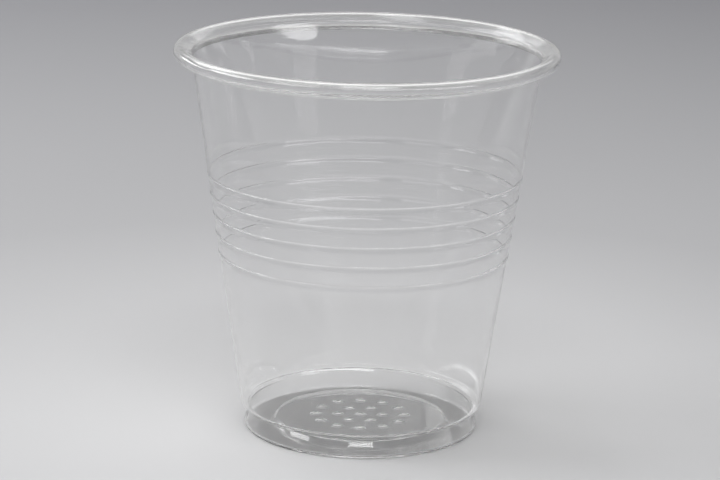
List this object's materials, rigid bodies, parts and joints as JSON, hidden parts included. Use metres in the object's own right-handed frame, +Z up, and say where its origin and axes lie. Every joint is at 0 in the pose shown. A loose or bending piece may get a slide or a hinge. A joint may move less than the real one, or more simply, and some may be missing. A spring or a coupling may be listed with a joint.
{
  "type": "disposable cup",
  "caption": "Clear thermoformed drinking cup: tapered wall with five fine rings, rolled rim, stacking crease above the foot and a raised base panel.",
  "frame": {"origin": "centre of the base, on the surface that the cup stands on", "axes": "+Z up along the cup's axis of revolution"},
  "size_m": [0.072, 0.072, 0.0734],
  "materials": {
    "clear_plastic": "clear and glossy, faintly milky in the wall"
  },
  "bodies": {
    "root": {"cup": "clear_plastic"}
  },
  "joints": []
}
